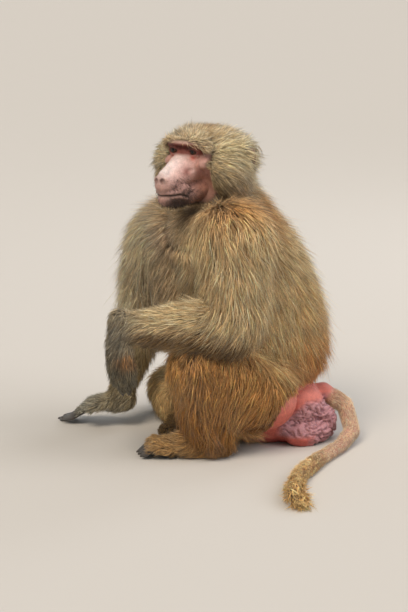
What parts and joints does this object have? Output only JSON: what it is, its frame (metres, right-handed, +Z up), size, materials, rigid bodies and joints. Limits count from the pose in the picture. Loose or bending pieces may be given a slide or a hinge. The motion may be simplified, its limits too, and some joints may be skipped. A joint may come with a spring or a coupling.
{
  "type": "life-size baboon model",
  "caption": "Seated adult female baboon, one hand on the floor and the other over a raised knee, head turned to its left, tail laid along the floor.",
  "frame": {"origin": "on the floor under the seat, where the rump rests", "axes": "+Z up, -Y the way the body faces, +X its left side, along which the tail is laid"},
  "size_m": [0.6473, 0.4901, 0.5551],
  "materials": {
    "straw_coat": "long dry fur",
    "russet_coat": "long dry fur",
    "dark_skin": "thinly haired dark skin",
    "pink_skin": "bare dry skin",
    "red_skin": "bare wrinkled skin",
    "eye": "wet gloss"
  },
  "bodies": {
    "root": {"head": "straw_coat", "neck": "straw_coat", "chest": "straw_coat", "belly": "russet_coat", "rump": "red_skin", "ear_left": "pink_skin", "ear_right": "pink_skin", "eye_left": "eye", "eye_right": "eye", "upper_arm_left": "straw_coat", "upper_arm_right": "straw_coat", "forearm_left": "straw_coat", "forearm_right": "straw_coat", "hand_left": "dark_skin", "hand_right": "dark_skin", "thigh_left": "russet_coat", "thigh_right": "russet_coat", "shin_left": "russet_coat", "shin_right": "russet_coat", "foot_left": "dark_skin", "foot_right": "dark_skin", "tail_root": "pink_skin", "tail_middle": "pink_skin", "tail_end": "straw_coat", "tail_tuft": "straw_coat"}
  },
  "joints": []
}
